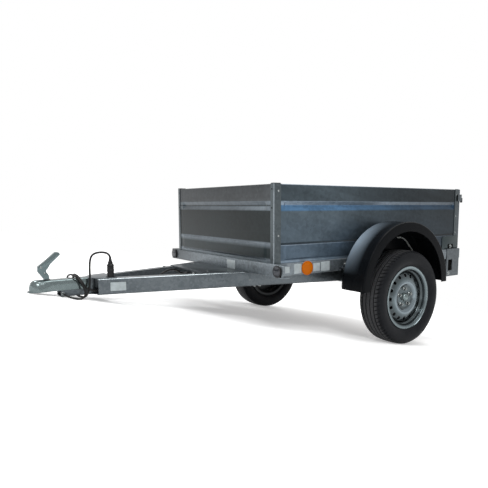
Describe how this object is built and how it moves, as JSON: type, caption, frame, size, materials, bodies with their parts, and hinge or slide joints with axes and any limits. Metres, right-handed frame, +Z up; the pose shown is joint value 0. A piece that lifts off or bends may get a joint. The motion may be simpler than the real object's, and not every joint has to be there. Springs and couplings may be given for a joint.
{
  "type": "utility trailer",
  "caption": "Small single-axle box trailer with galvanised sides, drop tailgate, V drawbar with ball coupling, steel wheels and black mudguards.",
  "frame": {"origin": "middle of the parked trailer's bounding box, on the floor (measured without cords)", "axes": "+X forward to the tow ball, +Y left, +Z up; the trailer stands nose down on its wheels and drawbar"},
  "size_m": [2.6228, 1.504, 1.0622],
  "materials": {
    "galvanised_steel": "procedural",
    "zinc_plated_steel": "procedural",
    "plywood": "procedural",
    "galvanised_sheet": "procedural",
    "black_plastic": "procedural",
    "machined_steel": "procedural",
    "wheel_silver": "procedural",
    "tyre": "procedural",
    "lamp_red": "procedural",
    "clear_reflector": "procedural",
    "amber_reflector": "procedural",
    "black_rubber": "procedural"
  },
  "bodies": {
    "chassis": {"drawbar_arm_left": "galvanised_steel", "drawbar_arm_right": "galvanised_steel", "drawbar_gusset": "galvanised_steel", "coupling_adaptor": "galvanised_steel", "coupling_head": "zinc_plated_steel", "coupling_handle": "zinc_plated_steel", "side_rail_left": "galvanised_steel", "side_rail_right": "galvanised_steel", "front_beam": "galvanised_steel", "rear_beam": "galvanised_steel", "cross_beam": "galvanised_steel", "floor_panel": "plywood", "side_panel_left": "galvanised_sheet", "side_panel_right": "galvanised_sheet", "front_panel": "galvanised_sheet", "front_post_left": "galvanised_steel", "rear_post_left": "galvanised_steel", "front_post_right": "galvanised_steel", "rear_post_right": "galvanised_steel", "post_caps": "black_plastic", "axle_tube": "galvanised_steel", "swing_arm_left": "galvanised_steel", "mudguard_left": "black_plastic", "mudguard_stays_left": "galvanised_steel", "lamp_bracket_left": "galvanised_steel", "swing_arm_right": "galvanised_steel", "mudguard_right": "black_plastic", "mudguard_stays_right": "galvanised_steel", "lamp_bracket_right": "galvanised_steel", "tail_lamps": "lamp_red", "front_reflectors": "clear_reflector", "side_reflectors": "amber_reflector", "plug_holder": "black_plastic", "plug": "black_plastic", "electric_lead": "black_rubber", "safety_cable": "black_rubber"},
    "wheel_left": {"hub_left": "machined_steel", "rim_left": "wheel_silver", "tyre_left": "tyre"},
    "wheel_right": {"hub_right": "machined_steel", "rim_right": "wheel_silver", "tyre_right": "tyre"},
    "gate": {"tailgate": "galvanised_sheet", "latch_left": "zinc_plated_steel", "latch_right": "zinc_plated_steel"}
  },
  "joints": [
    {"name": "wheel_left_spin", "type": "hinge", "parent": "chassis", "child": "wheel_left", "pos_m": [-0.56032, 0.6665, 0.2735], "axis": [0, 1, 0], "continuous": true},
    {"name": "wheel_right_spin", "type": "hinge", "parent": "chassis", "child": "wheel_right", "pos_m": [-0.56032, -0.6665, 0.2735], "axis": [0, 1, 0], "continuous": true},
    {"name": "tailgate_hinge", "type": "hinge", "parent": "chassis", "child": "gate", "pos_m": [-1.29418, 0, 0.66961], "axis": [0, -1, 0], "range_deg": [0, 170]}
  ]
}
